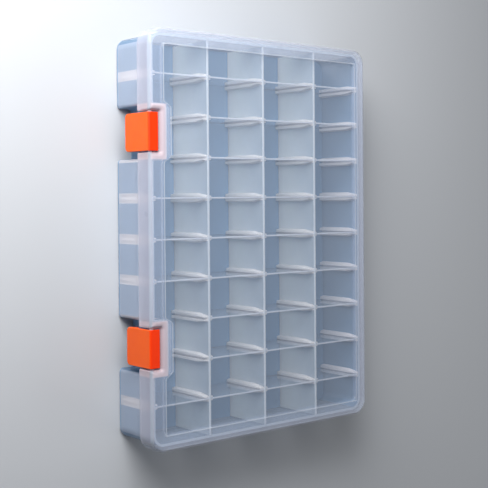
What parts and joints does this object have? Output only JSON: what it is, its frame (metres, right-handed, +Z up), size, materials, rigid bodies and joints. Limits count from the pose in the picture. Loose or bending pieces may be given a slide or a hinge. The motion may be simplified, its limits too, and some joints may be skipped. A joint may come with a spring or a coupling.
{
  "type": "compartment storage box",
  "caption": "flat translucent compartment box for sewing notions, with removable dividers, a rear-hinged lid with a sunken panel and two orange snap latches",
  "frame": {"origin": "centre of the tray's underside, where the box rests", "axes": "+X along the box's length, +Y from the latch side to the hinge side, +Z up through the lid"},
  "size_m": [0.275, 0.2011, 0.045],
  "materials": {
    "box_plastic": "satin",
    "lid_plastic": "satin",
    "divider_plastic": "satin",
    "latch_plastic": "satin"
  },
  "bodies": {
    "tray": {"base_tray": "box_plastic", "long_divider_front": "box_plastic", "long_divider_middle": "box_plastic", "long_divider_rear": "box_plastic", "divider_column_1_row_1": "divider_plastic", "divider_column_1_row_4": "divider_plastic", "divider_column_1_row_5": "divider_plastic", "divider_column_1_row_6": "divider_plastic", "divider_column_1_row_9": "divider_plastic", "divider_column_2_row_1": "divider_plastic", "divider_column_2_row_2": "divider_plastic", "divider_column_2_row_3": "divider_plastic", "divider_column_2_row_4": "divider_plastic", "divider_column_2_row_5": "divider_plastic", "divider_column_2_row_6": "divider_plastic", "divider_column_2_row_7": "divider_plastic", "divider_column_2_row_8": "divider_plastic", "divider_column_2_row_9": "divider_plastic", "divider_column_3_row_1": "divider_plastic", "divider_column_3_row_2": "divider_plastic", "divider_column_3_row_3": "divider_plastic", "divider_column_3_row_4": "divider_plastic", "divider_column_3_row_5": "divider_plastic", "divider_column_3_row_6": "divider_plastic", "divider_column_3_row_7": "divider_plastic", "divider_column_3_row_8": "divider_plastic", "divider_column_3_row_9": "divider_plastic", "divider_column_4_row_1": "divider_plastic", "divider_column_4_row_2": "divider_plastic", "divider_column_4_row_3": "divider_plastic", "divider_column_4_row_4": "divider_plastic", "divider_column_4_row_5": "divider_plastic", "divider_column_4_row_6": "divider_plastic", "divider_column_4_row_7": "divider_plastic", "divider_column_4_row_8": "divider_plastic", "divider_column_4_row_9": "divider_plastic"},
    "lid": {"lid": "lid_plastic"},
    "left_latch": {"latch_left": "latch_plastic"},
    "right_latch": {"latch_right": "latch_plastic"}
  },
  "joints": [
    {"name": "lid_hinge", "type": "hinge", "parent": "tray", "child": "lid", "pos_m": [0, 0.1006, 0.031], "axis": [-1, 0, 0], "range_deg": [0, 180]},
    {"name": "left_latch_turn", "type": "hinge", "parent": "lid", "child": "left_latch", "pos_m": [-0.07, -0.095, 0.0408], "axis": [-1, 0, 0], "range_deg": [0, 110]},
    {"name": "right_latch_turn", "type": "hinge", "parent": "lid", "child": "right_latch", "pos_m": [0.07, -0.095, 0.0408], "axis": [-1, 0, 0], "range_deg": [0, 110]}
  ]
}
